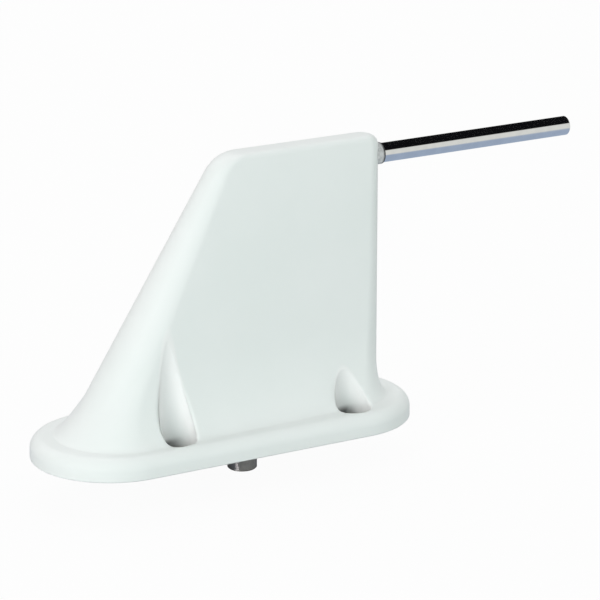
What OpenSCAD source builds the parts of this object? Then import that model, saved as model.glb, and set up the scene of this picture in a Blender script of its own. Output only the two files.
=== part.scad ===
// Aircraft blade antenna: a swept, hollow moulding on a flanged foot, with a polished rod
// out of its trailing edge and a bayonet coax jack under its base plate.
// Frame: origin on the mounting face at the jack's axis, +X aft along the rod, +Z up.
// All sizes in millimetres.

/* [Flange] */
// Length of the foot flange, front to rear
flange_l = 132.4; // [128:0.2:150]
// Width of the foot flange
flange_w = 52.4; // [51:0.2:64]
// Thickness of the flange
flange_t = 7.2; // [6.6:0.1:10]
// Radius along the flange's upper edge
flange_edge_r = 4; // [1:0.25:4.25]
// How far the screw pattern sits aft of the middle of the flange
pattern_shift = 7; // [4:0.5:9]

/* [Screw pattern] */
// Screw spacing along the antenna
hole_pitch_x = 64.5; // [60:0.5:68]
// Screw spacing across the antenna
hole_pitch_y = 31.75; // [31:0.25:33]
// Diameter of each screw hole
hole_d = 5.2; // [4:0.1:6]
// Diameter of the pocket that clears each screw head
pocket_d = 11.7; // [10:0.1:12]

/* [Blade] */
// Height of the blade's top above the mounting face
blade_top = 92.8; // [80:0.2:110]
// Sweep of the leading edge from upright, in degrees
sweep = 32.1; // [20:0.1:34]
// Leading edge behind the flange's front end, at the flange's top
nose_setback = 10.4; // [9:0.1:14]
// Trailing edge ahead of the flange's rear end, at the top
tail_setback = 9.1; // [8.6:0.1:14]
// Lean of the trailing edge, forward towards the root, in degrees
tail_lean = 0.45; // [0:0.05:2]
// Radius of the round nose at the top
nose_r_top = 4.8; // [4.6:0.1:7]
// Draft of each side at the nose, in degrees
nose_draft = 5.5; // [4:0.1:6]
// Radius of the round tail at the top
tail_r_top = 4.3; // [4.2:0.1:6]
// Draft of each side at the tail, in degrees
tail_draft = 2.6; // [1:0.1:4]
// Radius along the upper edges of the blade
top_edge_r = 1.75; // [0.5:0.25:2.5]
// Radius of the upper front corner, seen from the side
nose_corner_r = 12; // [6:0.5:16]
// Radius of the upper rear corner, seen from the side
tail_corner_r = 3.75; // [2:0.25:4.5]

/* [Skirt] */
// Height of the concave skirt on the blade's sides
skirt_h = 26; // [16:0.5:30]
// Height of the skirt at the leading edge
nose_skirt_h = 9; // [6:0.5:16]
// Height of the skirt at the trailing edge
tail_skirt_h = 10; // [6:0.5:16]
// Reach of the skirt ahead of the leading edge
nose_skirt = 3; // [1:0.1:5]
// Reach of the skirt behind the trailing edge
tail_skirt = 2.7; // [1:0.1:4]
// Flat land between the skirt's foot and the flange's edge, at the sides
foot_land = 0.4; // [0.2:0.1:1.5]
// Radius of the skirt's foot round the tail
foot_tail_r = 18.5; // [14:0.5:20]

/* [Shell] */
// Side wall at the top of the blade
wall = 2.4; // [2:0.1:2.6]
// Side wall at the root of the tail
root_wall = 3.2; // [3:0.1:4]
// Wall left between a screw pocket and the cavity
pocket_wall = 2.4; // [2:0.1:3]
// Thickness above the cavity
roof = 3; // [2.5:0.1:3.2]
// Thickness ahead of the cavity, along the antenna
nose_wall = 9; // [8:0.5:11]
// Thickness behind the cavity at the root
tail_wall = 7; // [6:0.5:9]
// Solid length round the rod, at the top of the cavity
rod_block = 20; // [16:0.5:20.5]

/* [Base plate] */
// Thickness of the aluminium base plate
plate_t = 3.2; // [3:0.1:3.6]
// Width of the moulded rim round the base plate
plate_rim = 4; // [3.6:0.1:4.2]
// Mean diameter of the seal ring round the jack
ring_d = 25.6; // [25:0.2:27]
// Thickness of the seal ring
ring_t = 1.78; // [1.5:0.02:2]
// How far the seal ring stands proud of the plate
ring_proud = 0.35; // [0.2:0.05:0.5]
// Thread diameter of the countersunk cover screws
cover_screw_d = 2.6; // [2:0.1:2.8]
// Length of the cover screws
cover_screw_l = 6.2; // [5:0.1:6.4]
// Distance of the side cover screws from the base plate's edge
cover_edge_in = 4; // [3.8:0.1:4.4]

/* [Rod] */
// Diameter of the rod
rod_d = 6.35; // [5:0.05:6.5]
// Length of rod that shows behind the trailing edge
rod_out = 74.6; // [40:0.1:140]
// Length of rod held in the blade
rod_in = 23; // [22:0.5:26]
// Rod's axis below the top of the blade
rod_drop = 7.2; // [6.6:0.1:7.4]
// Chamfer on the rod's free end
rod_chamfer = 0.5; // [0.2:0.1:1]
// Outer diameter of the collar at the rod's root
collar_d = 7.1; // [7:0.1:7.8]
// How far the collar stands out of the trailing edge
collar_out = 1.6; // [1:0.1:4]
// How deep the collar is let into the trailing edge
collar_in = 2.6; // [2.4:0.1:3]

/* [Jack] */
// Outer diameter of the jack's barrel
jack_d = 9.6; // [9:0.1:10]
// How far the barrel stands out under the mounting face
jack_out = 12.5; // [11:0.1:15]
// Inner diameter of the barrel's open end
jack_bore = 8.15; // [7.8:0.05:8.3]
// Depth of the barrel's open end
jack_depth = 9; // [8:0.1:10]
// Side of the jack's square flange
jack_flange = 17.5; // [17:0.1:18]
// Thickness of the jack's flange
jack_flange_t = 1.6; // [1.2:0.1:2]
// Spacing of the jack's flange screws
jack_pitch = 12.7; // [12.5:0.1:13]
// Tip to tip across the two bayonet studs
stud_span = 11; // [10.6:0.1:11.6]
// Diameter of each bayonet stud
stud_d = 2; // [1.6:0.1:2.2]
// Bayonet studs behind the barrel's open end
stud_back = 5.2; // [4.5:0.1:5.5]

/* [Inside] */
// Height of the board's underside above the mounting face
board_z = 10.6; // [10.2:0.1:11.5]
// Thickness of the board
board_t = 1.6; // [1:0.1:2]
// Width of the board
board_w = 9; // [8.4:0.1:9.2]
// Thickness of the radiator plate
radiator_t = 1; // [0.6:0.1:1.2]
// Height of the radiator plate's lower edge above the mounting face
radiator_z = 18; // [17.5:0.1:20]
// Gap kept between the radiator plate's edges and the cavity
radiator_inset = 2; // [1.5:0.1:3]
// Outer diameter of the tuning coil
coil_d = 4; // [3.6:0.1:4.4]
// Wire diameter of the tuning coil
coil_wire = 0.8; // [0.6:0.1:0.9]
// Whole turns of the tuning coil, before its last half turn
coil_turns = 4; // [3:1:5]

/* [Hidden] */
$fn = 64;

// Clearances: round pieces in their holes, flat pieces in their recesses, cuts past a face
bore_gap = 0.05;
recess_gap = 0.15;
past = 1;

// Flange and plate
flange_x = -pattern_shift;
flange_front = flange_x - flange_l / 2;
flange_rear = flange_x + flange_l / 2;
flange_r = flange_w / 2;
hole_x = hole_pitch_x / 2;
hole_y = hole_pitch_y / 2;

// Blade
le_foot = flange_front + nose_setback;
te_x = flange_rear - tail_setback;
rod_z = blade_top - rod_drop;

// Cavity
cav_top = blade_top - roof;
cav_root_nose_r = hole_y - pocket_d / 2 - pocket_wall;
cav_root_tail_r = tail_r(plate_t) - root_wall;
cav_top_nose_r = nose_r(cav_top) - wall;
cav_top_tail_r = tail_r(cav_top) - wall;

// Steps round the nose, round the tail, along each side and up each curved stretch
nose_n = 24;
tail_n = 24;
side_n = 6;
edge_n = 5;
skirt_n = 11;
top_n = 8;

// Small screws
jack_screw_d = 2.4;
jack_head_d = 4.2;
jack_head_h = 1.5;
jack_screw_in = 2.3;
board_screw_d = 2.4;
board_head_d = 4.2;
board_head_h = 1.5;
board_screw_in = 5;
cover_head_ratio = 2.1;
cover_front_in = 2;
cover_rear_in = 2.2;
cover_head_d = cover_screw_d * cover_head_ratio;
cover_front_x = le_foot + cover_front_in;
cover_side_y = flange_r - plate_rim - cover_edge_in;
cover_rear_x = te(0) - cover_rear_in;
cover_places = [
    [cover_front_x, 0], [cover_rear_x, 0], [0, cover_side_y], [0, -cover_side_y]
];

// Jack
gasket_t = 0.5;
jack_seat = plate_t + gasket_t;
jack_hub_d = 8;
jack_hub_h = 2.6;
insulator_d = 4.9;
insulator_out = 0.6;
insulator_back = 3.4;
contact_d = 2.1;
contact_back = 4.2;
contact_bore = 1.35;
contact_bore_l = 5;
contact_pin_d = 1.4;
contact_pin_out = 0.9;
chamber_side = 1;
chamber_over = 1.2;
chamber_d = jack_flange * sqrt(2) + 2 * chamber_side;
chamber_h = jack_flange_t + gasket_t + jack_head_h + chamber_over;

// Board and what it carries
board_top = board_z + board_t;
board_front = -32;
board_rear = 23;
standoff_d = 5;
spigot_d = 3.6;
spigot_l = 1.6;
standoff_places = [-27, 18.5];
foot_w = 5;
foot_places = [-9.5, 7.5];
foot_below = 0.4;
slot_gap = 0.1;
coil_pitch = 1.6;
coil_front = -22.5;
coil_steps = 10;
coil_sides = 8;
chip = [1.6, 3.2, 1.2];
chip_places = [-4.2, 3.4];
chip_y = 2.4;

// Joint of radiator plate and rod
tab_h = 5;
tab_in = 8;
rivet_d = 2;
rivet_l = 5.8;
rivet_places = [2.2, 6];

function mix(a, b, t) = a + (b - a) * t;

// Leading edge, nose radius and tail radius of the plain blade at height z
function le(z) = le_foot + (z - flange_t) * tan(sweep);
function nose_r(z) = nose_r_top + (blade_top - z) * tan(nose_draft);
function tail_r(z) = tail_r_top + (blade_top - z) * tan(tail_draft);

// How far a round of radius r, ending at the blade's top, has turned in at height z
function round_in(z, r) =
    let (rise = z - (blade_top - r))
    rise <= 0 ? 0 : r - sqrt(max(0, r * r - rise * rise));

// Leading edge with its rounded upper corner
corner_turn = 90 - sweep;
corner_x = le(blade_top) + nose_corner_r * tan(corner_turn / 2);
corner_z = blade_top - nose_corner_r * (1 - cos(corner_turn));
function nose_edge(z) =
    z <= corner_z ? le(z) : corner_x - nose_corner_r + round_in(z, nose_corner_r);
function te(z) = te_x - (blade_top - z) * tan(tail_lean);
function tail_edge(z) = te(z) - round_in(z, tail_corner_r);

// An outline round a nose circle and a tail circle, from the nose's tip, as [x, y, direction it faces]
function outline(nose_x, r1, tail_x, r2) =
    let (
        c1 = nose_x + r1,
        c2 = tail_x - r2,
        lean = asin((r1 - r2) / (c2 - c1)),
        half = nose_n / 2,
        nose = [
            for (k = [0:nose_n])
                let (a = 90 - lean + (180 + 2 * lean) * k / nose_n)
                [c1 + r1 * cos(a), r1 * sin(a), a]
        ],
        tail = [
            for (k = [0:tail_n])
                let (a = 270 + lean + (180 - 2 * lean) * k / tail_n)
                [c2 + r2 * cos(a), r2 * sin(a), a]
        ],
        near_side = [for (k = [1:side_n - 1]) mix(nose[nose_n], tail[0], k / side_n)],
        far_side = [
            for (k = [1:side_n - 1])
                let (p = mix(tail[tail_n], nose[0], k / side_n))
                [p.x, p.y, 90 - lean]
        ]
    )
    concat(
        [for (k = [half:nose_n]) nose[k]], near_side, tail, far_side,
        [for (k = [0:half - 1]) nose[k]]
    );

function flange_outline(inset) =
    outline(flange_front + inset, flange_r - inset, flange_rear - inset, flange_r - inset);

function blade_outline(z) =
    outline(
        nose_edge(z), nose_r(z) - round_in(z, top_edge_r),
        tail_edge(z), tail_r(z) - round_in(z, top_edge_r)
    );

// The line on the flange where the skirt ends
foot = outline(
    le_foot - nose_skirt, flange_r - flange_edge_r - foot_land,
    te(flange_t) + tail_skirt, foot_tail_r
);

// Share of the way from the blade to the foot: a quarter ellipse, taller at the sides than at the ends
function skirt_share(z, facing) =
    let (
        end_h = cos(facing) < 0 ? nose_skirt_h : tail_skirt_h,
        h = mix(end_h, skirt_h, pow(sin(facing), 4)),
        left = 1 - (z - flange_t) / h
    )
    left <= 0 ? 0 : 1 - sqrt(1 - left * left);

function level(points, z) = [for (p = points) [p.x, p.y, z]];

function skirted(z) =
    let (blade = blade_outline(z))
    [
        for (k = [0:len(blade) - 1])
            let (p = mix(blade[k], foot[k], skirt_share(z, blade[k][2])))
            [p.x, p.y, z]
    ];

// A closed skin over rings of equal length, from the lowest ring to the highest
module skin(rings) {
    n = len(rings[0]);
    last = len(rings) - 1;
    walls = [
        for (j = [0:last - 1], k = [0:n - 1])
            each [
                [j * n + k, (j + 1) * n + k, j * n + (k + 1) % n],
                [j * n + (k + 1) % n, (j + 1) * n + k, (j + 1) * n + (k + 1) % n]
            ]
    ];
    floor_face = [for (k = [0:n - 1]) k];
    roof_face = [for (k = [n - 1:-1:0]) last * n + k];
    polyhedron([for (ring = rings) each ring], concat([floor_face, roof_face], walls));
}

// Flange, skirt and blade as one skin
module outer_form() {
    edge_rings = [
        for (k = [0:edge_n])
            let (a = 90 * k / edge_n)
            level(
                flange_outline(flange_edge_r * (1 - cos(a))),
                flange_t - flange_edge_r * (1 - sin(a))
            )
    ];
    skirt_rings = [
        for (k = [0:skirt_n]) skirted(flange_t + skirt_h * (1 - cos(90 * k / skirt_n)))
    ];
    top_rings = [
        for (k = [0:top_n]) skirted(mix(corner_z, blade_top, sin(90 * k / top_n)))
    ];
    skin(concat([level(flange_outline(0), 0)], edge_rings, skirt_rings, top_rings));
}

// Leading end and trailing end of the cavity at height z
function cav_nose(z) = le(z) + nose_wall;
function cav_tail(z) =
    te(z) - mix(tail_wall, rod_block, (z - plate_t) / (cav_top - plate_t));

// The hollow inside the blade, open to the base plate's recess
module cavity() {
    ends = [plate_t - past, plate_t, cav_top];
    skin([
        for (z = ends)
            let (
                t = (z - plate_t) / (cav_top - plate_t),
                r1 = mix(cav_root_nose_r, cav_top_nose_r, t),
                r2 = mix(cav_root_tail_r, cav_top_tail_r, t)
            )
            level(outline(cav_nose(z), r1, cav_tail(z), r2), z)
    ]);
}

// A flat slab with round ends, at an inset from the flange's outline
module racetrack(inset, z0, z1) {
    r = flange_r - inset;
    front = flange_front + flange_r;
    rear = flange_rear - flange_r;
    translate([0, 0, z0]) {
        for (x = [front, rear])
            translate([x, 0, 0])
                cylinder(r = r, h = z1 - z0);
        translate([front, -r, 0])
            cube([rear - front, 2 * r, z1 - z0]);
    }
}

module at_holes() {
    for (x = [-hole_x, hole_x], y = [-hole_y, hole_y])
        translate([x, y, 0])
            children();
}

module at_cover_screws() {
    for (p = cover_places)
        translate([p.x, p.y, 0])
            children();
}

module at_jack_screws() {
    for (x = [-1, 1], y = [-1, 1])
        translate([x * jack_pitch / 2, y * jack_pitch / 2, 0])
            children();
}

module along_x(x, z) {
    translate([x, 0, z])
        rotate([0, 90, 0])
            children();
}

// A screw with a flat-topped round head, seated at z = 0, shank down
module pan_screw(head_d, head_h, shank_d, shank_l) {
    slot_w = head_d / 6;
    slot_h = head_h / 2;
    top_d = head_d * 0.8;
    difference() {
        union() {
            cylinder(d = head_d, h = head_h / 2);
            translate([0, 0, head_h / 2])
                cylinder(d1 = head_d, d2 = top_d, h = head_h / 2);
            translate([0, 0, -shank_l])
                cylinder(d = shank_d, h = shank_l + head_h / 4);
        }
        translate([-head_d, -slot_w / 2, head_h - slot_h])
            cube([2 * head_d, slot_w, slot_h + past]);
    }
}

// One-piece moulding: blade, skirt, flange, screw pockets, cavity and bores
module radome() {
    color("whitesmoke")
        difference() {
            outer_form();
            cavity();
            racetrack(plate_rim - recess_gap, -past, plate_t);
            translate([0, 0, plate_t - past])
                cylinder(d = chamber_d, h = chamber_h + past);
            at_holes()
                translate([0, 0, plate_t - past])
                    cylinder(d = pocket_d, h = blade_top);
            at_cover_screws()
                cylinder(d = cover_screw_d + 2 * bore_gap, h = cover_screw_l + bore_gap);
            along_x(te_x - rod_in - recess_gap, rod_z)
                cylinder(d = rod_d + 2 * bore_gap, h = rod_in + past * 2);
            along_x(te_x - collar_in, rod_z)
                cylinder(d = collar_d + 2 * bore_gap, h = collar_in + past);
        }
}

// Plate let into the foot: it grounds the antenna and takes the mounting screws' heads
module base_plate() {
    groove_w = ring_t + 2 * recess_gap;
    groove_h = ring_t - ring_proud + bore_gap;
    color("silver")
        difference() {
            racetrack(plate_rim, 0, plate_t);
            at_holes()
                translate([0, 0, -past])
                    cylinder(d = hole_d, h = plate_t + 2 * past);
            at_cover_screws() {
                translate([0, 0, -past])
                    cylinder(d = cover_screw_d + 4 * bore_gap, h = plate_t + 2 * past);
                cylinder(d1 = cover_head_d + 2 * bore_gap, d2 = 0, h = cover_head_d / 2 + bore_gap);
            }
            translate([0, 0, -past])
                cylinder(d = jack_d + 2 * recess_gap, h = plate_t + 2 * past);
            at_jack_screws()
                translate([0, 0, plate_t - jack_screw_in - recess_gap])
                    cylinder(d = jack_screw_d + 2 * bore_gap, h = plate_t);
            for (x = standoff_places)
                translate([x, 0, plate_t - spigot_l - bore_gap])
                    cylinder(d = spigot_d + 2 * bore_gap, h = plate_t);
            difference() {
                translate([0, 0, -past])
                    cylinder(d = ring_d + groove_w, h = groove_h + past);
                translate([0, 0, -2 * past])
                    cylinder(d = ring_d - groove_w, h = groove_h + 4 * past);
            }
        }
}

// Seal ring that sits in the plate's groove and stands a little proud
module base_o_ring() {
    color("black")
        translate([0, 0, ring_t / 2 - ring_proud])
            rotate_extrude()
                translate([ring_d / 2, 0])
                    circle(d = ring_t);
}

// Countersunk screws that hold the plate to the moulding
module cover_screws() {
    color("gray")
        at_cover_screws()
            union() {
                cylinder(d = cover_screw_d, h = cover_screw_l);
                cylinder(d1 = cover_head_d, d2 = 0, h = cover_head_d / 2);
            }
}

module jack_gasket() {
    color("dimgray")
        difference() {
            translate([-jack_flange / 2, -jack_flange / 2, plate_t])
                cube([jack_flange, jack_flange, gasket_t]);
            cylinder(d = jack_d + 2 * recess_gap, h = jack_seat + past);
            at_jack_screws()
                cylinder(d = jack_screw_d + 2 * recess_gap, h = jack_seat + past);
        }
}

// Barrel, bayonet studs, square flange and hub in one turned and milled body
module jack_body() {
    hub_top = jack_seat + jack_flange_t + jack_hub_h;
    rim_chamfer = 0.4;
    color("lightslategray")
        difference() {
            union() {
                translate([0, 0, -jack_out + rim_chamfer])
                    cylinder(d = jack_d, h = jack_out + jack_seat - rim_chamfer + past);
                translate([0, 0, -jack_out])
                    cylinder(d1 = jack_d - 2 * rim_chamfer, d2 = jack_d, h = rim_chamfer);
                translate([-jack_flange / 2, -jack_flange / 2, jack_seat])
                    cube([jack_flange, jack_flange, jack_flange_t]);
                translate([0, 0, jack_seat])
                    cylinder(d = jack_hub_d, h = hub_top - jack_seat);
                translate([0, stud_span / 2, -jack_out + stud_back])
                    rotate([90, 0, 0])
                        cylinder(d = stud_d, h = stud_span);
            }
            translate([0, 0, -jack_out - past])
                cylinder(d = jack_bore, h = jack_depth + past);
            translate([0, 0, -jack_out])
                cylinder(d = insulator_d + 2 * bore_gap, h = jack_out + hub_top + past);
            at_jack_screws()
                translate([0, 0, jack_seat - past])
                    cylinder(d = jack_screw_d + 2 * recess_gap, h = jack_flange_t + 2 * past);
        }
}

module jack_insulator() {
    top = jack_seat + jack_flange_t + jack_hub_h + insulator_out;
    bottom = -jack_out + insulator_back;
    color("ivory")
        difference() {
            translate([0, 0, bottom])
                cylinder(d = insulator_d, h = top - bottom);
            translate([0, 0, bottom - past])
                cylinder(d = contact_d + 2 * bore_gap, h = top - bottom + 2 * past);
        }
}

// Socket at the front, solder pin at the back, through the board
module jack_contact() {
    shoulder = jack_seat + jack_flange_t + jack_hub_h + insulator_out;
    front = -jack_out + contact_back;
    color("goldenrod")
        difference() {
            union() {
                translate([0, 0, front])
                    cylinder(d = contact_d, h = shoulder - front);
                translate([0, 0, front])
                    cylinder(d = contact_pin_d, h = board_top + contact_pin_out - front);
            }
            translate([0, 0, front - past])
                cylinder(d = contact_bore, h = contact_bore_l + past);
        }
}

module jack_screws() {
    color("gray")
        at_jack_screws()
            translate([0, 0, jack_seat + jack_flange_t])
                pan_screw(
                    jack_head_d, jack_head_h, jack_screw_d,
                    jack_flange_t + gasket_t + jack_screw_in
                );
}

// Spacers with a spigot let into the plate and a tapped top
module board_standoffs() {
    bore_l = board_screw_in + recess_gap;
    color("darkkhaki")
        for (x = standoff_places)
            translate([x, 0, 0])
                difference() {
                    union() {
                        translate([0, 0, plate_t])
                            cylinder(d = standoff_d, h = board_z - plate_t);
                        translate([0, 0, plate_t - spigot_l])
                            cylinder(d = spigot_d, h = spigot_l + past);
                    }
                    translate([0, 0, board_z - bore_l])
                        cylinder(d = board_screw_d + 2 * bore_gap, h = bore_l + past);
                }
}

module matching_board() {
    color("darkgreen")
        difference() {
            translate([board_front, -board_w / 2, board_z])
                cube([board_rear - board_front, board_w, board_t]);
            for (x = standoff_places)
                translate([x, 0, board_z - past])
                    cylinder(d = board_screw_d + 2 * recess_gap, h = board_t + 2 * past);
            translate([0, 0, board_z - past])
                cylinder(d = contact_pin_d + 2 * recess_gap, h = board_t + 2 * past);
            for (x = foot_places)
                translate([x, 0, board_z + board_t / 2])
                    cube(
                        [foot_w + 2 * slot_gap, radiator_t + 2 * slot_gap, board_t + 2 * past],
                        center = true
                    );
        }
}

module board_screws() {
    color("gray")
        for (x = standoff_places)
            translate([x, 0, board_top])
                pan_screw(board_head_d, board_head_h, board_screw_d, board_t + board_screw_in);
}

// Round wire wound along X, with both ends brought straight down to the board
module tuning_coil() {
    r = (coil_d - coil_wire) / 2;
    axis_z = board_top + coil_d / 2 + coil_wire / 2;
    steps = coil_steps * coil_turns + coil_steps / 2;
    length = coil_pitch * steps / coil_steps;
    turns = [
        for (k = [0:steps])
            let (a = 360 * k / coil_steps)
            [[coil_front + length * k / steps, r * cos(a), axis_z + r * sin(a)], a]
    ];
    path = concat(
        [[[coil_front, r, board_top], 0]],
        turns,
        [[[coil_front + length, -r, board_top], 180]]
    );
    color("peru")
        skin([
            for (p = path)
                [
                    for (k = [0:coil_sides - 1])
                        let (
                            a = 360 * k / coil_sides,
                            across = coil_wire / 2 * cos(a),
                            along = -coil_wire / 2 * sin(a)
                        )
                        p[0] + [along, across * cos(p[1]), across * sin(p[1])]
                ]
        ]);
}

module chip_capacitors() {
    color("tan")
        for (x = chip_places)
            translate([x - chip.x / 2, chip_y - chip.y / 2, board_top])
                cube(chip);
}

// Sheet that follows the cavity, with two feet in the board and a tab in the rod's slot
module radiator_plate() {
    rod_end = te_x - rod_in;
    tab_top = rod_z + tab_h / 2;
    tab_bottom = rod_z - tab_h / 2;
    color("darkgoldenrod")
        difference() {
            translate([0, radiator_t / 2, 0])
                rotate([90, 0, 0])
                    linear_extrude(radiator_t) {
                        polygon([
                            [cav_nose(radiator_z) + radiator_inset, radiator_z],
                            [cav_tail(radiator_z) - radiator_inset, radiator_z],
                            [rod_end - radiator_inset, tab_bottom],
                            [rod_end + tab_in - slot_gap, tab_bottom],
                            [rod_end + tab_in - slot_gap, tab_top],
                            [cav_nose(tab_top) + radiator_inset, tab_top]
                        ]);
                        for (x = foot_places)
                            translate([x - foot_w / 2, board_z - foot_below])
                                square([foot_w, radiator_z - board_z + foot_below + past]);
                    }
            rod_rivet_holes();
        }
}

module at_rivets() {
    for (x = rivet_places)
        translate([te_x - rod_in + x, 0, rod_z])
            rotate([90, 0, 0])
                children();
}

module rod_rivet_holes() {
    at_rivets()
        cylinder(d = rivet_d + 2 * bore_gap, h = 2 * rod_d, center = true);
}

// Round rod: slotted and riveted to the radiator plate at one end, chamfered at the other
module rod() {
    slot_w = radiator_t + 2 * slot_gap;
    straight = rod_in + rod_out - rod_chamfer;
    color("gainsboro")
        difference() {
            along_x(te_x - rod_in, rod_z)
                union() {
                    cylinder(d = rod_d, h = straight);
                    translate([0, 0, straight])
                        cylinder(d1 = rod_d, d2 = rod_d - 2 * rod_chamfer, h = rod_chamfer);
                }
            translate([te_x - rod_in - past, -slot_w / 2, rod_z - rod_d])
                cube([tab_in + past, slot_w, 2 * rod_d]);
            rod_rivet_holes();
        }
}

module rod_rivets() {
    color("darkgoldenrod")
        at_rivets()
            cylinder(d = rivet_d, h = rivet_l, center = true);
}

// Ring let into the trailing edge round the rod, with a bevelled outer end
module rod_collar() {
    length = collar_in + collar_out;
    bevel = (collar_d - rod_d) / 4;
    color("lightgray")
        along_x(te_x - collar_in, rod_z)
            difference() {
                union() {
                    cylinder(d = collar_d, h = length - bevel);
                    translate([0, 0, length - bevel])
                        cylinder(d1 = collar_d, d2 = collar_d - 2 * bevel, h = bevel);
                }
                translate([0, 0, -past])
                    cylinder(d = rod_d + 2 * bore_gap, h = length + 2 * past);
            }
}

radome();
base_plate();
base_o_ring();
cover_screws();
jack_gasket();
jack_body();
jack_insulator();
jack_contact();
jack_screws();
board_standoffs();
matching_board();
board_screws();
tuning_coil();
chip_capacitors();
radiator_plate();
rod();
rod_rivets();
rod_collar();
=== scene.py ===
import bmesh
import bpy
import numpy as np
from mathutils import Matrix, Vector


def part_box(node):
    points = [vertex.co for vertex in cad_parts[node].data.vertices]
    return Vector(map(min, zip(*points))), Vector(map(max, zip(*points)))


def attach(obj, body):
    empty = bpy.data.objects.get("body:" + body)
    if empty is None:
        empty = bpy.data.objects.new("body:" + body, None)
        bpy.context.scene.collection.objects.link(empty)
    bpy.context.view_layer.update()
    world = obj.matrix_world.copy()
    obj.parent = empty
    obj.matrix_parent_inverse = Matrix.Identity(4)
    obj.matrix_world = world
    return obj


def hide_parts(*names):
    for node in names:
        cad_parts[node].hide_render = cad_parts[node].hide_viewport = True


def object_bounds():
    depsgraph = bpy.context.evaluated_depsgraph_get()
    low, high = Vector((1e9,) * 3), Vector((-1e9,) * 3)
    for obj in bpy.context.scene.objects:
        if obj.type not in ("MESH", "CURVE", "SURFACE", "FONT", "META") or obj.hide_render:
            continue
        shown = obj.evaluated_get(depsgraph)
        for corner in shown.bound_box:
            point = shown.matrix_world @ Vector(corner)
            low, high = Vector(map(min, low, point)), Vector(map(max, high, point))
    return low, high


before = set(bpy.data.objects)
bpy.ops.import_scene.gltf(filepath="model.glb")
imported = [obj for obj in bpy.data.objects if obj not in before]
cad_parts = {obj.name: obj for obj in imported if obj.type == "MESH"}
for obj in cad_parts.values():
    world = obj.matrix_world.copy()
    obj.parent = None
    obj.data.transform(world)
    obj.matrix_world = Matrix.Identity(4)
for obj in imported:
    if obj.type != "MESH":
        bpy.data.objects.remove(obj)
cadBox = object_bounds()
mm = 0.001
quarter = np.pi / 2
fullTurn = 2 * np.pi
tiny = 1e-12
print("frame loaded with", len(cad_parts), "nodes")


# a socket of a node tree that takes arithmetic
class Wire:
    def __init__(self, tree, socket=None):
        self.tree = tree
        self.socket = socket

    # any node: its type, its settings, the values or links of its sockets, and which output is handed on
    def node(self, kind, settings=(), sockets=(), out=0):
        made = self.tree.nodes.new(kind)
        for name, value in dict(settings).items():
            setattr(made, name, value)
        for name, value in dict(sockets).items():
            if isinstance(value, Wire):
                self.tree.links.new(value.socket, made.inputs[name])
            else:
                made.inputs[name].default_value = value
        return Wire(self.tree, made.outputs[out] if len(made.outputs) else None)

    def sums(self, operation, first, second):
        return self.node("ShaderNodeMath", {"operation": operation}, {0: first, 1: second})

    def __add__(self, other):
        return self.sums("ADD", self, other)

    def __radd__(self, other):
        return self.sums("ADD", other, self)

    def __sub__(self, other):
        return self.sums("SUBTRACT", self, other)

    def __rsub__(self, other):
        return self.sums("SUBTRACT", other, self)

    def __mul__(self, other):
        return self.sums("MULTIPLY", self, other)

    def __rmul__(self, other):
        return self.sums("MULTIPLY", other, self)


def emptyTree(owner):
    owner.use_nodes = True
    owner.node_tree.nodes.clear()
    return Wire(owner.node_tree)


def objectPlace(wire):
    return wire.node("ShaderNodeTexCoord", out="Object")


def coordinate(wire, vector, axis):
    return wire.node("ShaderNodeSeparateXYZ", {}, {0: vector}, axis)


def vectors(wire, operation, *values, out="Vector"):
    return wire.node("ShaderNodeVectorMath", {"operation": operation}, dict(enumerate(values)), out)


def noise(wire, place, scale, detail):
    return wire.node("ShaderNodeTexNoise", {}, {"Vector": place, "Scale": scale, "Detail": detail})


# 0 below low, 1 above high, smooth between; low above high turns it round
def rising(wire, value, low, high):
    ramp = wire.node("ShaderNodeMapRange", {"interpolation_type": "SMOOTHSTEP"},
                     {"Value": value, "From Min": min(low, high), "From Max": max(low, high)})
    return ramp if low < high else 1 - ramp


# sockets 6 and 7 of the node are its two colours, and output 2 is their mix
def mixColours(wire, share, first, second):
    ends = [value if isinstance(value, Wire) else (*value, 1.0) for value in (first, second)]
    return wire.node("ShaderNodeMix", {"data_type": "RGBA"}, {0: share, 6: ends[0], 7: ends[1]}, out=2)


def bump(wire, height, strength, distance):
    return wire.node("ShaderNodeBump", {}, {"Strength": strength, "Distance": distance, "Height": height})


# a material with one Principled shader, whose socket values come from fill
def newMaterial(name, fill):
    material = bpy.data.materials.new(name)
    wire = emptyTree(material)
    shader = wire.node("ShaderNodeBsdfPrincipled", {}, fill(wire))
    wire.node("ShaderNodeOutputMaterial", {}, {"Surface": shader})
    return material


# axes and radius of the screw pockets in millimetres, for their shape and their paint
pocket = {"x": 32.25, "y": 15.875, "radius": 5.85}

# satin paint with a faint cloudiness and orange peel. Painted light makes it paler in the screw pockets, and
# painted shade lies low in them, on their fore side. A noise is its scale and detail, a bump its strength and
# depth
paintLook = {
    "low": (0.795, 0.825, 0.81), "high": (0.815, 0.838, 0.826), "cloud": (24.0, 3.0),
    "cloudSpan": (0.35, 0.65), "wave": (110.0, 2.0), "peel": (850.0, 2.0), "peelShare": 0.35,
    "bump": (0.1, 0.0001), "roughness": 0.46, "roughnessWave": 0.1, "index": 1.45, "gloss": 0.25,
    "pocketPaintedLight": (0.865, 0.87, 0.86), "pocketLightEdge": 0.6, "paintedShade": (0.07, 0.07, 0.068),
    "paintedShadeEdge": (0.25, 0.05), "paintedShadeTop": 6.6, "paintedShadeFoot": 3.6, "paintedShadeAft": 4.8, "paintedShadeFore": 0.3,
    "paintedShadeShare": 0.72, "speck": (420.0, 4.0), "speckSpan": (0.25, 0.6), "speckShare": 0.2,
}


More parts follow.
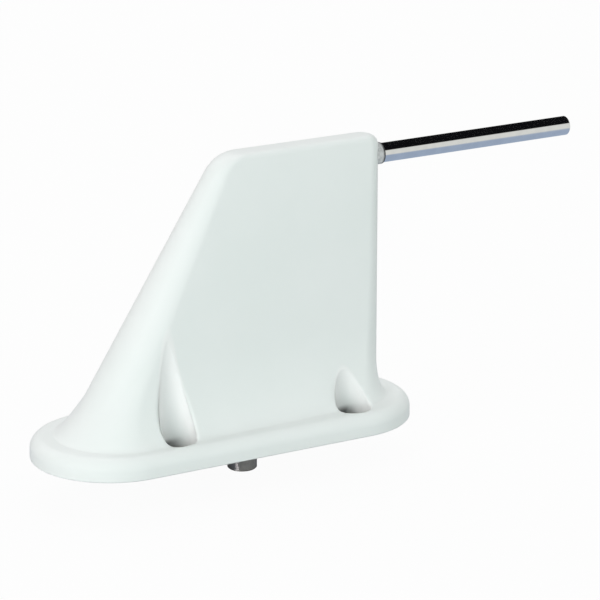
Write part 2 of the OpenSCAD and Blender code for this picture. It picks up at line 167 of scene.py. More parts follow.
def whitePaint(wire):
    look, radius = paintLook, pocket["radius"]
    place = objectPlace(wire)
    wave = noise(wire, place, *look["wave"])
    peel = noise(wire, place, *look["peel"])
    cloud = rising(wire, noise(wire, place, *look["cloud"]), *look["cloudSpan"])
    paint = mixColours(wire, cloud, look["low"], look["high"])
    axis = (pocket["x"] * mm, pocket["y"] * mm, 0)  # places are folded, so that one pocket stands for four
    fromAxis = vectors(wire, "SUBTRACT", vectors(wire, "ABSOLUTE", place), axis)
    reach = vectors(wire, "LENGTH", vectors(wire, "MULTIPLY", fromAxis, (1, 1, 0)), out="Value")
    foreOrAft = wire.node("ShaderNodeMath", {"operation": "SIGN"}, {0: coordinate(wire, place, "X")})
    aft = coordinate(wire, fromAxis, "X") * foreOrAft
    # painted shade: low on the fore side of each pocket, the paint darkens towards near black
    shadeSide = rising(wire, aft, look["paintedShadeAft"] * mm, look["paintedShadeFore"] * mm)
    inside = rising(wire, reach, *((radius + edge) * mm for edge in look["paintedShadeEdge"]))
    deep = rising(wire, coordinate(wire, place, "Z"), look["paintedShadeTop"] * mm, look["paintedShadeFoot"] * mm)
    speck = rising(wire, noise(wire, place, *look["speck"]), *look["speckSpan"])
    # painted light: the paint is paler inside the pocket circle, standing in for the key lamp's light on the
    # walls
    pocketPaintedLight = rising(wire, reach, (radius + look["pocketLightEdge"]) * mm, radius * mm)
    paint = mixColours(wire, pocketPaintedLight, paint, look["pocketPaintedLight"])
    paintedShade = inside * deep * shadeSide * (look["paintedShadeShare"] + look["speckShare"] * speck)
    return {"Base Color": mixColours(wire, paintedShade, paint, look["paintedShade"]),
            "Roughness": look["roughness"] + look["roughnessWave"] * wave,
            "IOR": look["index"], "Specular IOR Level": look["gloss"],
            "Normal": bump(wire, wave + look["peelShare"] * peel, *look["bump"])}


# rough pale sealant, with painted shade where it meets the rod, along a ragged line
collarLook = {
    "low": (0.46, 0.46, 0.46), "high": (0.62, 0.62, 0.62), "grain": (900.0, 4.0), "grainSpan": (0.35, 0.65),
    "rodShade": (0.03, 0.03, 0.03), "rodShadeFrom": -0.7, "rodShadeTo": 0.2, "ragged": 0.8,
    "roughness": 0.3, "roughnessGrain": 0.3, "bump": (0.5, 0.00025),
}


def greyCollar(wire):
    look = collarLook
    place = objectPlace(wire)
    grain = noise(wire, place, *look["grain"])
    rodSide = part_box("rod_collar")[1][0]
    aft = coordinate(wire, place, "X") + look["ragged"] * mm * grain
    # painted shade: the collar darkens towards the rod along a ragged line
    rodShaded = rising(wire, aft, rodSide + look["rodShadeFrom"] * mm, rodSide + look["rodShadeTo"] * mm)
    pale = mixColours(wire, rising(wire, grain, *look["grainSpan"]), look["low"], look["high"])
    return {"Base Color": mixColours(wire, rodShaded, pale, look["rodShade"]),
            "Roughness": look["roughness"] + look["roughnessGrain"] * grain,
            "Normal": bump(wire, grain, *look["bump"])}


# bare metals: the streaks are a noise stretched along the tool's path, and the cloud shifts the tone.
# The fine grooves round the jack's axis draw a highlight out along it
metalLooks = {
    "polishedRod": {
        "low": (0.80, 0.80, 0.81), "high": (0.84, 0.84, 0.845), "cloud": (300.0, 3.0),
        "cloudSpan": (0.4, 0.6), "streak": (60.0, 2400.0, 2400.0), "streakDetail": 3.0,
        "roughness": 0.02, "roughnessStreak": 0.07, "bump": (0.04, 0.00002), "others": {},
    },
    "turnedNickel": {
        "low": (0.56, 0.555, 0.545), "high": (0.70, 0.695, 0.685), "cloud": (420.0, 3.0),
        "cloudSpan": (0.35, 0.7), "streak": (30.0, 30.0, 3600.0), "streakDetail": 3.0,
        "roughness": 0.32, "roughnessStreak": 0.1, "bump": (0.25, 0.00005),
        "others": {"Anisotropic": 1.0, "Anisotropic Rotation": 0.25},
    },
    "brushedPlate": {
        "low": (0.72, 0.715, 0.69), "high": (0.80, 0.795, 0.775), "cloud": (45.0, 3.0),
        "cloudSpan": (0.3, 0.7), "streak": (30.0, 1800.0, 1800.0), "streakDetail": 4.0,
        "roughness": 0.3, "roughnessStreak": 0.2, "bump": (0.25, 0.00005), "others": {},
    },
}


def streakedMetal(look):
    def fill(wire):
        place = objectPlace(wire)
        path = wire.node("ShaderNodeMapping", {}, {"Vector": place, "Scale": look["streak"]})
        streak = noise(wire, path, 1.0, look["streakDetail"])
        cloud = rising(wire, noise(wire, place, *look["cloud"]), *look["cloudSpan"])
        return {"Base Color": mixColours(wire, cloud, look["low"], look["high"]), "Metallic": 1.0,
                "Roughness": look["roughness"] + look["roughnessStreak"] * streak,
                "Normal": bump(wire, streak, *look["bump"]), **look["others"]}
    return fill


# two near tones broken up by fine grain, for the small pieces
grainLook = {"detail": 3.0, "span": (0.3, 0.7), "roughnessGrain": 0.15, "bump": (0.15, 0.00003)}


def grained(low, high, metallic, roughness, scale):
    def fill(wire):
        look = grainLook
        grain = noise(wire, objectPlace(wire), scale, look["detail"])
        return {"Base Color": mixColours(wire, rising(wire, grain, *look["span"]), low, high),
                "Metallic": metallic, "Roughness": roughness + look["roughnessGrain"] * grain,
                "Normal": bump(wire, grain, *look["bump"])}
    return fill


# a grained finish gives its low and high tone, metallic, roughness and the scale of its grain
fills = {
    "whitePaint": whitePaint,
    "greyCollar": greyCollar,
    **{name: streakedMetal(look) for name, look in metalLooks.items()},
    "blackRubber": grained((0.018, 0.018, 0.018), (0.035, 0.034, 0.033), 0.0, 0.5, 1600.0),
    "screwSteel": grained((0.42, 0.42, 0.43), (0.55, 0.55, 0.56), 1.0, 0.25, 900.0),
    "insulatorWhite": grained((0.72, 0.70, 0.64), (0.82, 0.80, 0.74), 0.0, 0.4, 800.0),
    "contactGold": grained((0.72, 0.46, 0.12), (0.86, 0.60, 0.22), 1.0, 0.18, 900.0),
    "boardGreen": grained((0.015, 0.09, 0.03), (0.03, 0.14, 0.05), 0.0, 0.35, 500.0),
    "coilCopper": grained((0.62, 0.26, 0.12), (0.78, 0.36, 0.18), 1.0, 0.2, 900.0),
    "chipTan": grained((0.34, 0.24, 0.13), (0.44, 0.33, 0.20), 0.0, 0.45, 900.0),
    "sheetBrass": grained((0.52, 0.36, 0.12), (0.68, 0.50, 0.20), 1.0, 0.25, 600.0),
}
finishes = {name: newMaterial(name, fill) for name, fill in fills.items()}
print("finishes made:", len(finishes))


# a piece from points in millimetres: closed, facing outwards, smooth but for edges over the sharp angle
def newPiece(name, shape, finish, nodes, sharp):
    points, faces = shape
    mesh = bpy.data.meshes.new(name)
    mesh.from_pydata((np.asarray(points, float) * mm).tolist(), [], faces)
    build = bmesh.new()
    build.from_mesh(mesh)
    bmesh.ops.recalc_face_normals(build, faces=build.faces[:])
    openEdges = sum(not edge.is_manifold for edge in build.edges)
    build.to_mesh(mesh)
    build.free()
    mesh.shade_smooth()
    mesh.set_sharp_from_angle(angle=np.radians(sharp))
    mesh.materials.append(finishes[finish])
    piece = bpy.data.objects.new(name, mesh)
    bpy.context.scene.collection.objects.link(piece)
    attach(piece, "root")
    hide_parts(*nodes)
    print("piece", name, "faces", len(mesh.polygons), "open edges", openEdges)


def joined(*shapes):
    points, faces, start = [], [], 0
    for somePoints, someFaces in shapes:
        points.append(np.asarray(somePoints, float))
        faces += [[start + corner for corner in face] for face in someFaces]
        start += len(somePoints)
    return np.concatenate(points), faces


# rows close to both ends of each long stretch, so that shading stays straight between them
def supported(profile, ring, hold=0.06, longest=0.8):
    profile = np.asarray(profile, float)
    ends = np.roll(profile, -1, 0)
    rows = []
    for i, (here, there) in enumerate(zip(profile, ends)):
        rows.append(here)
        length = np.linalg.norm(there - here)
        if length > longest and (ring or i < len(profile) - 1):
            step = (there - here) * hold / length
            rows += [here + step, there - step]
    return np.array(rows)


def anglesRound(segments):
    return np.linspace(0, fullTurn, segments, endpoint=False)


# a profile of (along, radius) carried round an axis:
# point = origin + along * axis + radius * (cos angle * second axis + sin angle * third axis)
def spun(profile, origin, axis, segments, ring=False):
    profile = supported(profile, ring)
    main = "xyz".index(axis)
    angle = anglesRound(segments)[None, :]
    grid = np.zeros((len(profile), segments, 3)) + np.asarray(origin, float)
    grid[..., main] += profile[:, :1]
    grid[..., (main + 1) % 3] += profile[:, 1:] * np.cos(angle)
    grid[..., (main + 2) % 3] += profile[:, 1:] * np.sin(angle)
    return gridShape(grid, ring)


# quads over a grid that closes round its columns, and round its rows too for a ring; equal points are merged
def gridShape(grid, ring=False, digits=6):
    rows, columns = grid.shape[:2]
    row, col = np.meshgrid(np.arange(rows if ring else rows - 1), np.arange(columns), indexing="ij")
    here, above = row * columns, (row + 1) % rows * columns
    on = (col + 1) % columns
    quads = np.stack([here + col, here + on, above + on, above + col], -1).reshape(-1, 4)
    points, index = np.unique(np.round(grid.reshape(-1, 3), digits), axis=0, return_inverse=True)
    faces = [list(dict.fromkeys(face)) for face in index.reshape(-1)[quads].tolist()]
    return points, [face for face in faces if len(face) > 2]


def boxOf(node):
    low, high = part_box(node)
    return np.array(low) / mm, np.array(high) / mm


# the white moulding: flange, skirt and swept blade as one surface, with four screw pockets.
# Lengths are in millimetres and angles in degrees; names with steps or shares set the grid
mouldLow, mouldHigh = boxOf("radome")
mould = {
    "flangeFront": mouldLow[0], "flangeRear": mouldHigh[0], "flangeRadius": mouldHigh[1],
    "bladeTop": mouldHigh[2], "flangeThick": 7.2, "flangeEdge": 4.0, "footChamfer": 0.3, "recessInset": 3.85,
    "recessHeight": 3.2, "noseSetback": 10.4, "tailSetback": 9.1, "sweep": 32.1, "tailLean": 0.45,
    "noseRadiusTop": 4.8, "noseDraft": 5.5, "tailRadiusTop": 4.3, "tailDraft": 2.6, "topEdge": 1.75,
    "noseCorner": 12.0, "tailCorner": 3.75, "skirtHeight": 26.0, "noseSkirtHeight": 9.0,
    "tailSkirtHeight": 10.0, "skirtPower": 4, "noseSkirt": 3.0, "tailSkirt": 2.7, "footLand": 0.4,
    "footTailRadius": 18.5, "rimLow": 0.9, "rimHigh": 2.2, "rimRise": (8.0, 18.0), "rimShare": 0.25,
    "footShare": 0.35, "wallPower": 1.2, "nearReach": 4.0, "nearDrop": 1.5, "rimCosines": (-0.99, 0.99999),
    "noseSteps": 44, "tailSteps": 80, "flankSteps": (62, 22, 38), "flankShares": (0.0, 0.28, 0.86, 1.0),
    "edgeSteps": 12, "skirtSteps": 72, "wallSteps": 22, "wallTop": 44.0, "bladeSteps": 10, "topSteps": 18,
    "sharp": 38.0,
}
footFront = mould["flangeFront"] + mould["noseSetback"]
tailTop = mould["flangeRear"] - mould["tailSetback"]
slopes = {name: np.tan(np.radians(mould[name])) for name in ("sweep", "tailLean", "noseDraft", "tailDraft")}


# how far a round of that radius, ending at the blade's top, has turned in at a height
def roundIn(z, radius):
    rise = np.clip(z - (mould["bladeTop"] - radius), 0, radius)
    return radius - np.sqrt(radius * radius - rise * rise)


# the blade's straight edges: x = x at one end + height from there * slope
def leadingEdge(z):
    return footFront + (z - mould["flangeThick"]) * slopes["sweep"]


def trailingEdge(z):
    return tailTop - (mould["bladeTop"] - z) * slopes["tailLean"]


cornerTurn = quarter - np.radians(mould["sweep"])
cornerX = leadingEdge(mould["bladeTop"]) + mould["noseCorner"] * np.tan(cornerTurn / 2)
cornerZ = mould["bladeTop"] - mould["noseCorner"] * (1 - np.cos(cornerTurn))


# the leading edge with its rounded upper corner
def noseEdge(z):
    rounded = cornerX - mould["noseCorner"] + roundIn(z, mould["noseCorner"])
    return np.where(z <= cornerZ, leadingEdge(z), rounded)


# places round an outline: along is 0 on the nose's circle and 1 on the tail's, and a place faces
# turn + tilt * lean
def outlinePlaces():
    shares = mould["flankShares"]
    stretches = zip(shares[:-1], shares[1:], mould["flankSteps"])
    flank = np.concatenate([np.linspace(*stretch, endpoint=False) for stretch in stretches])[1:]
    nose = np.arange(mould["noseSteps"] + 1) / mould["noseSteps"]
    tail = np.arange(mould["tailSteps"] + 1) / mould["tailSteps"]
    along = np.concatenate([0 * nose, flank, 0 * tail + 1, flank[::-1], 0 * nose[:-1]])
    turn = quarter * np.concatenate([2 + nose, 0 * flank + 3, 3 + 2 * tail, 0 * flank + 5, 5 + nose[:-1]])
    tilt = np.concatenate([nose, 0 * flank + 1, 1 - 2 * tail, 0 * flank - 1, nose[:-1] - 1])
    return along, turn, tilt


along, turn, tilt = outlinePlaces()
around = len(along)


# outline that wraps a nose circle and a tail circle: centre and radius run from one to the other with along.
# The circles are given as the foremost x and the radius, then the rearmost x and the radius
def outline(*circles):
    noseX, noseR, tailX, tailR = (np.asarray(value, float).reshape(-1, 1) for value in circles)
    front, rear = noseX + noseR, tailX - tailR
    facing = turn + tilt * np.arcsin((noseR - tailR) / (rear - front))
    radius = noseR + (tailR - noseR) * along
    return front + (rear - front) * along + radius * np.cos(facing), radius * np.sin(facing), facing


# flange outlines at heights z: the end circles keep their centres, and their radius shrinks by the inset
def flangeLevels(inset, z):
    inset, z = np.asarray(inset, float), np.asarray(z, float)[:, None]
    radius = mould["flangeRadius"] - inset
    x, y, _ = outline(mould["flangeFront"] + inset, radius, mould["flangeRear"] - inset, radius)
    return np.stack([x, y, z + 0 * x], -1)


# blade outline drawn out to the foot line: the share is a quarter ellipse of the height, taller at the flanks
def bladeLevels(z):
    below, rim = mould["bladeTop"] - z, roundIn(z, mould["topEdge"])
    noseRadius = mould["noseRadiusTop"] + below * slopes["noseDraft"] - rim
    tailRadius = mould["tailRadiusTop"] + below * slopes["tailDraft"] - rim
    tail = trailingEdge(z) - roundIn(z, mould["tailCorner"])
    x, y, facing = outline(noseEdge(z), noseRadius, tail, tailRadius)
    footRadius = mould["flangeRadius"] - mould["flangeEdge"] - mould["footLand"]
    footTail = trailingEdge(mould["flangeThick"]) + mould["tailSkirt"]
    footX, footY, _ = outline(footFront - mould["noseSkirt"], footRadius, footTail, mould["footTailRadius"])
    endHeight = np.where(np.cos(facing) < 0, mould["noseSkirtHeight"], mould["tailSkirtHeight"])
    height = endHeight + (mould["skirtHeight"] - endHeight) * np.sin(facing) ** mould["skirtPower"]
    left = np.clip(1 - (z[:, None] - mould["flangeThick"]) / height, 0, 1)
    share = 1 - np.sqrt(1 - left * left)
    return np.stack([x + (footX - x) * share, y + (footY - y) * share, z[:, None] + 0 * x], -1)


# rows from the recess over the base plate, round the flange and up the blade
def mouldingSkin():
    edge = np.linspace(0, quarter, mould["edgeSteps"] + 1)
    skirt = np.linspace(0, quarter, mould["skirtSteps"] + 1)
    top = np.linspace(0, quarter, mould["topSteps"] + 1)[1:]
    recess, chamfer, roundEdge = mould["recessInset"], mould["footChamfer"], mould["flangeEdge"]
    thick, skirtTop = mould["flangeThick"], mould["flangeThick"] + mould["skirtHeight"]
    return np.concatenate([
        flangeLevels([recess, recess], [mould["recessHeight"], 0]),
        flangeLevels([chamfer, 0], [0, chamfer]),
        flangeLevels(roundEdge * (1 - np.cos(edge)), thick - roundEdge * (1 - np.sin(edge))),
        bladeLevels(thick + mould["skirtHeight"] * (1 - np.cos(skirt))),
        bladeLevels(np.linspace(skirtTop, mould["wallTop"], mould["wallSteps"] + 1)[1:]),
        bladeLevels(np.linspace(mould["wallTop"], cornerZ, mould["bladeSteps"] + 1)[1:]),
        bladeLevels(cornerZ + (mould["bladeTop"] - cornerZ) * np.sin(top)),
    ])


# unit normals: the step round the outline crossed with the step up the rows
def outwardNormals(skin):
    across = np.roll(skin, -1, 1) - np.roll(skin, 1, 1)
    normal = np.cross(across, np.gradient(skin, axis=0))
    return normal / np.maximum(np.linalg.norm(normal, axis=-1, keepdims=True), tiny)


# the neighbour of each grid point; the columns close round, the rows end
def neighbour(values, rows, cols):
    moved = np.roll(values, (-rows, -cols), (0, 1))
    if rows:
        end = -1 if rows > 0 else 0
        moved[end] = values[end]
    return moved


# grid points next to a circle round the pocket's axis slide along their grid line onto it, by half a cell
# at most
def slideToCircle(skin, centre, radius, allowed, halfCell=0.5, notMoved=9.0):
    reach = np.hypot(skin[..., 0] - centre[0], skin[..., 1] - centre[1])
    best, target = np.full(reach.shape, notMoved), skin.copy()
    for rows, cols in ((0, 1), (0, -1), (1, 0), (-1, 0)):
        other, otherReach = neighbour(skin, rows, cols), neighbour(reach, rows, cols)
        crossing = ((reach < radius) != (otherReach < radius)) & allowed
        apart = np.where(crossing, otherReach - reach, 1)
        step = np.where(crossing, (radius - reach) / apart, notMoved)
        nearer = (step <= halfCell) & (step < best)
        best = np.where(nearer, step, best)
        target = np.where(nearer[..., None], skin + step[..., None] * (other - skin), target)
    return target, best < notMoved, reach


outsideKind, rimKind, wallKind, footKind, floorKind = range(5)


# a pocket: the grid inside its circle is spread down a round wall to the base plate, and the rim is rolled
# over an arc from the outer surface's normal to the wall's. Each grid point's kind is kept
def sinkPocket(skin, normals, kind, centre):
    radius, rimShare = pocket["radius"], mould["rimShare"]
    footRadius = mould["footShare"] * radius
    skin, onRim, reach = slideToCircle(skin, centre, radius, np.ones(kind.shape, bool))
    inside = (reach < radius) & ~onRim
    skin, onFoot, _ = slideToCircle(skin, centre, footRadius, inside)
    offset = skin[..., :2] - centre
    reach, bearing = np.hypot(offset[..., 0], offset[..., 1]), np.arctan2(offset[..., 1], offset[..., 0])
    near = (reach < radius + mould["nearReach"]) & (skin[..., 2] > mould["flangeThick"] - mould["nearDrop"])
    order = np.argsort(bearing[onRim])

    def roundRim(values):
        return np.interp(bearing[near], bearing[onRim][order], values[onRim][order], period=fullTurn)

    radial = np.stack([np.cos(bearing[near]), np.sin(bearing[near]), 0 * bearing[near]], -1)
    corner = np.array([*centre, 0.0]) + radius * radial
    corner[:, 2] = roundRim(skin[..., 2])
    outer = np.stack([roundRim(normals[..., axis]) for axis in range(3)], -1)
    outer /= np.linalg.norm(outer, axis=1, keepdims=True)
    low, high = mould["rimRise"]
    lift = np.clip((corner[:, 2] - low) / (high - low), 0, 1)
    edge = mould["rimLow"] + (mould["rimHigh"] - mould["rimLow"]) * lift * lift * (3 - 2 * lift)
    cosine = np.clip(-(outer * radial).sum(1), *mould["rimCosines"])
    bend = np.arccos(cosine)
    hub = corner - edge[:, None] * (outer - radial) / (1 + cosine)[:, None]
    length = edge * np.tan(bend / 2)
    gap = np.linalg.norm(skin[near] - corner, axis=1)
    depth = np.clip((radius - reach[near]) / (radius - footRadius), 0, 1)
    isRim, isFoot = onRim[near], onFoot[near]
    isWall = inside[near] & ~isFoot & (depth < 1)
    isFloor = inside[near] & ~isFoot & ~isWall
    isEdge = ~inside[near] & ~isRim & (gap < length)
    downWall = 1 + np.minimum(depth / rimShare, 1)
    overEdge = 1 - gap / np.maximum(length, tiny)
    swing = bend / 2 * np.where(isRim, 1, np.where(isWall, downWall, overEdge))
    share = np.stack([np.sin(bend - swing), -np.sin(swing)], -1) / np.sin(bend)[:, None]
    arc = hub + edge[:, None] * (share[:, :1] * outer + share[:, 1:] * radial)
    fall = np.clip((depth - rimShare) / (1 - rimShare), 0, 1) ** mould["wallPower"]
    wall = corner.copy()
    wall[:, 2] = hub[:, 2] + (mould["recessHeight"] - hub[:, 2]) * np.where(isFoot, 1, fall)
    onArc = isRim | isEdge | (isWall & (depth < rimShare))
    onWall = isFoot | (isWall & (depth >= rimShare))
    skin[near] = np.where(onArc[:, None], arc, np.where(onWall[:, None], wall, skin[near]))
    kinds = [rimKind, wallKind, footKind, floorKind]
    kind[near] = np.select([isRim, isWall, isFoot, isFloor], kinds, kind[near])
    return skin


# triangles over the skin: no diagonal joins a pocket's inside to the outside, the floors stay open and the
# top is capped
def mouldingTriangles(kind):
    rows = len(kind)
    row, col = np.meshgrid(np.arange(rows - 1), np.arange(around), indexing="ij")
    # a, b, c and d are the corners of a quad, in turn
    a, b = row * around + col, row * around + (col + 1) % around
    c, d = b + around, a + around
    flat = kind.reshape(-1)
    swap = (np.abs(flat[a] - flat[c]) >= wallKind - outsideKind)[..., None]
    first = np.where(swap, np.stack([a, b, d], -1), np.stack([a, b, c], -1))
    second = np.where(swap, np.stack([b, c, d], -1), np.stack([a, c, d], -1))
    triangles = np.concatenate([first.reshape(-1, 3), second.reshape(-1, 3)])
    triangles = triangles[~(flat[triangles] >= footKind).all(1)]
    half = around // 2
    near = np.arange(1, half - 1)
    far = around - near
    cap = np.concatenate([
        np.stack([near, near + 1, far - 1], -1),
        np.stack([near, far - 1, far], -1),
        [[0, 1, around - 1], [half - 1, half, half + 1]],
    ])
    return np.concatenate([triangles, cap + (rows - 1) * around])


# the face over the base plate is filled between the recess's wall and the feet of the pockets
def closedBelow(points, triangles):
    used, index = np.unique(triangles, return_inverse=True)
    faces = index.reshape(-1, 3).tolist()
    mesh = bpy.data.meshes.new("openSkin")
    mesh.from_pydata(points[used].tolist(), [], faces)
    build = bmesh.new()
    build.from_mesh(mesh)
    bpy.data.meshes.remove(mesh)
    rims = [edge for edge in build.edges if edge.is_boundary]
    bmesh.ops.triangle_fill(build, use_beauty=True, edges=rims, normal=(0, 0, -1))
    build.faces.ensure_lookup_table()
    faces += [[vertex.index for vertex in face.verts] for face in build.faces[len(faces):]]
    build.free()
    return points[used], faces


def makeMoulding():
    skin = mouldingSkin()
    normals = outwardNormals(skin)
    kind = np.full(skin.shape[:2], outsideKind)
    for side in (-1, 1):
        for end in (-1, 1):
            skin = sinkPocket(skin, normals, kind, np.array([end * pocket["x"], side * pocket["y"]]))
    shape = closedBelow(skin.reshape(-1, 3), mouldingTriangles(kind))
    newPiece("mouldingShell", shape, "whitePaint", ["radome"], mould["sharp"])


makeMoulding()


# foot, length and radius of a round CAD node that lies along x
def roundBar(node):
    low, high = boxOf(node)
    return (low[0], 0, (low[2] + high[2]) / 2), high[0] - low[0], (high[1] - low[1]) / 2


# polished rod with a chamfered tip
rod = {"chamfer": 0.5, "soften": 0.06, "segments": 160, "sharp": 30.0}


def makeRod():
    foot, length, radius = roundBar("rod")
    cut, soft = rod["chamfer"], rod["soften"]
    profile = [(0, 0), (0, radius), (length - cut - soft, radius), (length - cut + soft, radius - soft),
               (length - soft, radius - cut + soft), (length, radius - cut - soft), (length, 0)]
    shape = spun(profile, foot, "x", rod["segments"])
    newPiece("polishedRod", shape, "polishedRod", ["rod"], rod["sharp"])


# the ring round the rod's root
collar = {"bore": 3.225, "bevel": 0.18, "soften": 0.05, "segments": 120, "sharp": 50.0}


def makeCollar():
    foot, length, radius = roundBar("rod_collar")
    bore, cut, soft = collar["bore"], collar["bevel"], collar["soften"]
    profile = [(0, bore), (0, radius), (length - cut - soft, radius), (length - soft, radius - soft),
               (length, radius - cut), (length, bore)]
    shape = spun(profile, foot, "x", collar["segments"], ring=True)
    newPiece("rodCollar", shape, "greyCollar", ["rod_collar"], collar["sharp"])


makeRod()
makeCollar()

# bayonet jack: turned barrel with two studs, its square flange and the hub behind it
jack = {
    "radius": 4.8, "bore": 4.075, "depth": 9.0, "inner": 2.5, "hub": 4.0, "seat": 3.7, "flangeThick": 1.6,
    "overlap": 0.1, "lip": 0.4, "soften": 0.1, "studSpan": 11.0, "studRadius": 1.0, "studUp": 5.2,
    "studFoot": 4.4, "segments": 128, "studSegments": 48, "sharp": 35.0,
}


def makeJack():
    low, high = boxOf("jack_body")
    bottom, top, floor = low[2], high[2], low[2] + jack["depth"]
    inner, hub, seat, radius = jack["inner"], jack["hub"], jack["seat"], jack["radius"]
    bore, lip, soft = jack["bore"], jack["lip"], jack["soften"]
    barrel = [(top, inner), (top, hub), (seat, hub), (seat, radius), (bottom + lip, radius),
              (bottom + soft, radius - lip + soft), (bottom, radius - lip), (bottom, bore + soft),
              (bottom + soft, bore), (floor, bore), (floor, inner)]
    length, thick = jack["studSpan"] / 2 - jack["studFoot"], jack["studRadius"]
    studs = []
    for side in (-1, 1):
        stud = [(0, 0), (0, thick), (side * (length - soft), thick), (side * length, thick - soft),
                (side * length, 0)]
        foot = (0, side * jack["studFoot"], bottom + jack["studUp"])
        studs.append(spun(stud, foot, "y", jack["studSegments"]))
    turned = spun(barrel, (0, 0, 0), "z", jack["segments"], ring=True)
    shape = joined(turned, squareFlange(high[0]), *studs)
    newPiece("jackBarrel", shape, "turnedNickel", ["jack_body"], jack["sharp"])


# square plate with a round hole: at each angle it reaches from the hole to half / max(|cos|, |sin|)
def squareFlange(half):
    angle = anglesRound(jack["segments"])
    turned = np.stack([np.cos(angle), np.sin(angle), 0 * angle], -1)
    hole = (jack["hub"] - jack["overlap"]) * turned
    square = half / np.abs(turned).max(1, keepdims=True) * turned
    lower = np.array([0, 0, jack["seat"]])
    upper = lower + np.array([0, 0, jack["flangeThick"]])
    return gridShape(np.stack([hole + lower, square + lower, square + upper, hole + upper]), ring=True)


makeJack()

# seal ring in the plate's groove: a circle carried round the jack's axis
seal = {"section": 32, "segments": 160, "sharp": 80.0}


def makeSeal():
    low, high = boxOf("base_o_ring")
    thick = (high[2] - low[2]) / 2
    angle = anglesRound(seal["section"])
    profile = np.stack([thick * np.sin(angle), high[0] - thick + thick * np.cos(angle)], -1)
    shape = spun(profile, (0, 0, (low[2] + high[2]) / 2), "z", seal["segments"], ring=True)
    newPiece("sealRing", shape, "blackRubber", ["base_o_ring"], seal["sharp"])


makeSeal()

# countersunk screws under the plate, with a cross recess in each head
screw = {
    "head": 2.73, "shank": 1.3, "rows": 26, "segments": 96, "armWidth": 0.36, "armLength": 1.55,
    "slope": 0.14, "recess": 0.9, "sharp": 35.0,
}


# head as a height over polar places: the recess is where a place lies in either arm of the cross,
# and its wall slopes evenly to either side of the arm's edge
def crossHead(tip):
    angle = anglesRound(screw["segments"])
    radius = np.linspace(0, screw["head"], screw["rows"])[:, None]
    x, y = radius * np.cos(angle), radius * np.sin(angle)

    def within(limit, value):
        return np.clip((limit - np.abs(value)) / screw["slope"] + 0.5, 0, 1)

    width, length = screw["armWidth"], screw["armLength"]
    arms = [within(width, wide) * within(length, far) for wide, far in ((x, y), (y, x))]
    head = np.stack([x, y, screw["recess"] * np.maximum(*arms)], -1)
    body = [(screw["head"] - screw["shank"], screw["shank"]), (tip, screw["shank"]), (tip, 0)]
    rest = [np.stack([r * np.cos(angle), r * np.sin(angle), z + 0 * angle], -1) for z, r in body]
    return gridShape(np.concatenate([head, rest]))


def makeScrews():
    low, high = boxOf("cover_screws")
    reach = screw["head"]
    places = [(low[0] + reach, 0), (high[0] - reach, 0), (0, high[1] - reach), (0, low[1] + reach)]
    points, faces = crossHead(high[2])
    shape = joined(*[(points + np.array([x, y, 0]), faces) for x, y in places])
    newPiece("coverScrews", shape, "screwSteel", ["cover_screws"], screw["sharp"])


makeScrews()

# finishes of the CAD nodes that stay as they are
nodeFinish = {
    "base_plate": "brushedPlate", "jack_gasket": "blackRubber", "jack_insulator": "insulatorWhite",
    "jack_contact": "contactGold", "jack_screws": "screwSteel", "board_standoffs": "sheetBrass",
    "matching_board": "boardGreen", "board_screws": "screwSteel", "tuning_coil": "coilCopper",
    "chip_capacitors": "chipTan", "radiator_plate": "sheetBrass", "rod_rivets": "sheetBrass",
}
for nodeName, finish in nodeFinish.items():
    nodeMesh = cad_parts[nodeName].data
    nodeMesh.materials.clear()
    nodeMesh.materials.append(finishes[finish])
print("CAD nodes dressed:", len(nodeFinish))

# studio: pale floor, a sky that is brighter to the rear right, key and fill lamps from the front left and a
# lamp above and behind. Polished metal sees a pale room to the front, a dark ceiling and back, and a floor
# with painted shadow: dim under the jack, bluish near the part and pale farther off. It doesn't see the fill
# lamp
studio = {
    "floorDrop": 0.1, "floorSize": 30.0, "floorTone": (0.58, 0.59, 0.585), "floorWhite": 0.96,
    "white": (1, 1, 1), "skyDim": (0.28, 0.29, 0.285), "skyBright": (1.14, 1.17, 1.16),
    "skyAxis": (0.80, 0.33, 0.50), "skySpan": (-0.1, 0.95), "room": (0.76, 0.77, 0.73),
    "ceiling": (0.004, 0.004, 0.005), "ceilingFrom": (0.44, 0.52), "behindFrom": (0.0, 0.15),
    "floorShadowTone": (0.10, 0.10, 0.10), "floorShadeBlue": (0.36, 0.44, 0.57), "dimTo": (0.03, 0.07),
    "blueTo": (0.22, 0.46),
}
lamps = {
    "keyLamp": {"place": (-1.17, -0.47, 0.45), "width": 0.55, "height": 0.9, "power": 7.3,
                "tone": (1.0, 0.94, 0.95), "inGloss": True},
    "fillLamp": {"place": (-0.76, -1.30, 0.26), "width": 1.6, "height": 0.8, "power": 10.5,
                 "tone": (0.85, 1.0, 0.985), "inGloss": False},
    "topLamp": {"place": (0.05, 0.90, 1.10), "width": 1.2, "height": 1.0, "power": 5.4,
                "tone": (1.0, 0.95, 1.0), "inGloss": True},
}
lampAim = (0.0, 0.0, 0.03)
camera = {"place": (-0.518697, -0.902840, 0.359948), "yaw": -30.9027, "pitch": 16.8830, "roll": 0.1141,
          "lens": 204.836, "sensor": 36.0}


def rayKinds(wire):
    kinds = ("Is Camera Ray", "Is Glossy Ray", "Is Transmission Ray")
    return [wire.node("ShaderNodeLightPath", out=kind) for kind in kinds]


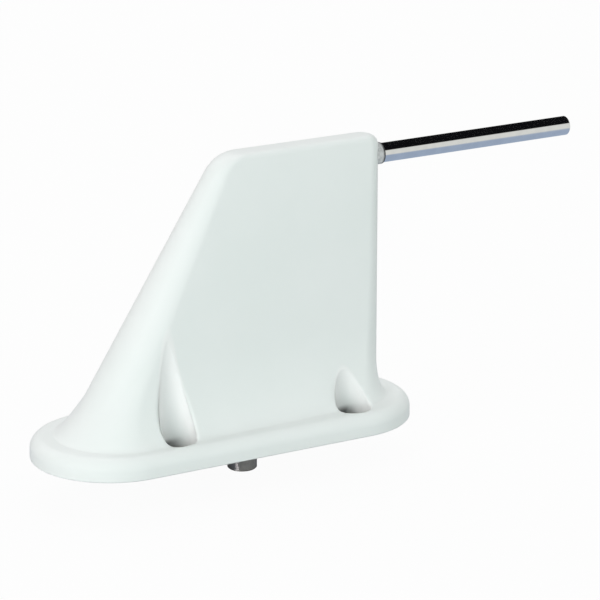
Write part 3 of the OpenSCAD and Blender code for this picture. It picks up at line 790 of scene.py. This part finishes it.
def makeFloor():
    half, z = studio["floorSize"] / 2, cadBox[0][2] - studio["floorDrop"] * mm
    corners = [(-half, -half, z), (half, -half, z), (half, half, z), (-half, half, z)]
    mesh = bpy.data.meshes.new("studioFloor")
    mesh.from_pydata(corners, [], [(0, 1, 2, 3)])
    material = bpy.data.materials.new("studioFloor")
    wire = emptyTree(material)
    seenByCamera, seenInGloss, seenThrough = rayKinds(wire)
    reach = vectors(wire, "LENGTH", objectPlace(wire), out="Value")
    # painted shadow: seen in reflections, the floor is dim under the jack and bluish near the part
    pastDim, pastBlue = (rising(wire, reach, *studio[name]) for name in ("dimTo", "blueTo"))
    shadowedNearTone = mixColours(wire, pastDim, studio["floorShadowTone"], studio["floorShadeBlue"])
    glossTone = mixColours(wire, pastBlue, shadowedNearTone, studio["room"])
    tone = mixColours(wire, seenInGloss, studio["white"], glossTone)
    matt = wire.node("ShaderNodeBsdfDiffuse", {}, {"Color": (*studio["floorTone"], 1)})
    glow = wire.node("ShaderNodeEmission", {}, {"Color": tone, "Strength": 1.0})
    share = studio["floorWhite"] * (seenByCamera + seenThrough) + seenInGloss
    floorShader = wire.node("ShaderNodeMixShader", {}, {0: share, 1: matt, 2: glow})
    wire.node("ShaderNodeOutputMaterial", {}, {"Surface": floorShader})
    mesh.materials.append(material)
    floor = bpy.data.objects.new("studioFloor", mesh)
    bpy.context.scene.collection.objects.link(floor)


def makeWorld():
    world = bpy.data.worlds.new("studioWorld")
    bpy.context.scene.world = world
    wire = emptyTree(world)
    seenByCamera, seenInGloss, seenThrough = rayKinds(wire)
    direction = wire.node("ShaderNodeTexCoord", out="Generated")
    above = rising(wire, coordinate(wire, direction, "Z"), *studio["ceilingFrom"])
    behind = rising(wire, coordinate(wire, direction, "Y"), *studio["behindFrom"])
    room = mixColours(wire, wire.sums("MAXIMUM", above, behind), studio["room"], studio["ceiling"])
    lean = vectors(wire, "DOT_PRODUCT", direction, studio["skyAxis"], out="Value")
    sky = mixColours(wire, rising(wire, lean, *studio["skySpan"]), studio["skyDim"], studio["skyBright"])
    lit = mixColours(wire, seenInGloss, sky, room)
    seen = mixColours(wire, seenByCamera + seenThrough, lit, studio["white"])
    light = wire.node("ShaderNodeBackground", {}, {"Color": seen, "Strength": 1.0})
    wire.node("ShaderNodeOutputWorld", {}, {"Surface": light})


# matrix with columns side, top and back, at a place
def standing(side, top, back, place):
    turned = Matrix([[*row, 0] for row in np.stack([side, top, back], 1).tolist()] + [[0, 0, 0, 1]])
    turned.translation = place
    return turned


def makeLamp(name):
    settings = lamps[name]
    lamp = bpy.data.lights.new(name, "AREA")
    lamp.shape = "RECTANGLE"
    lamp.size = settings["width"]
    lamp.size_y = settings["height"]
    lamp.energy = settings["power"]
    lamp.color = settings["tone"]
    holder = bpy.data.objects.new(name, lamp)
    bpy.context.scene.collection.objects.link(holder)
    holder.visible_glossy = settings["inGloss"]
    back = np.subtract(settings["place"], lampAim)
    back /= np.linalg.norm(back)
    side = np.cross([0, 0, 1], back)
    side /= np.linalg.norm(side)
    holder.matrix_world = standing(side, np.cross(back, side), back, settings["place"])


# back points from the part to the camera, and the camera rolls about it
def makeCamera():
    yaw, pitch, roll = (np.radians(camera[name]) for name in ("yaw", "pitch", "roll"))
    back = np.array([np.sin(yaw) * np.cos(pitch), -np.cos(yaw) * np.cos(pitch), np.sin(pitch)])
    level = np.array([np.cos(yaw), np.sin(yaw), 0])
    rise = np.cross(back, level)
    view = bpy.data.cameras.new("photoCamera")
    view.sensor_width = camera["sensor"]
    view.lens = camera["lens"]
    holder = bpy.data.objects.new("photoCamera", view)
    bpy.context.scene.collection.objects.link(holder)
    side = np.cos(roll) * level + np.sin(roll) * rise
    top = np.cos(roll) * rise - np.sin(roll) * level
    holder.matrix_world = standing(side, top, back, camera["place"])
    bpy.context.scene.camera = holder


makeFloor()
makeWorld()
for lampName in lamps:
    makeLamp(lampName)
makeCamera()
bpy.context.scene.view_settings.view_transform = "Standard"
print("studio set")
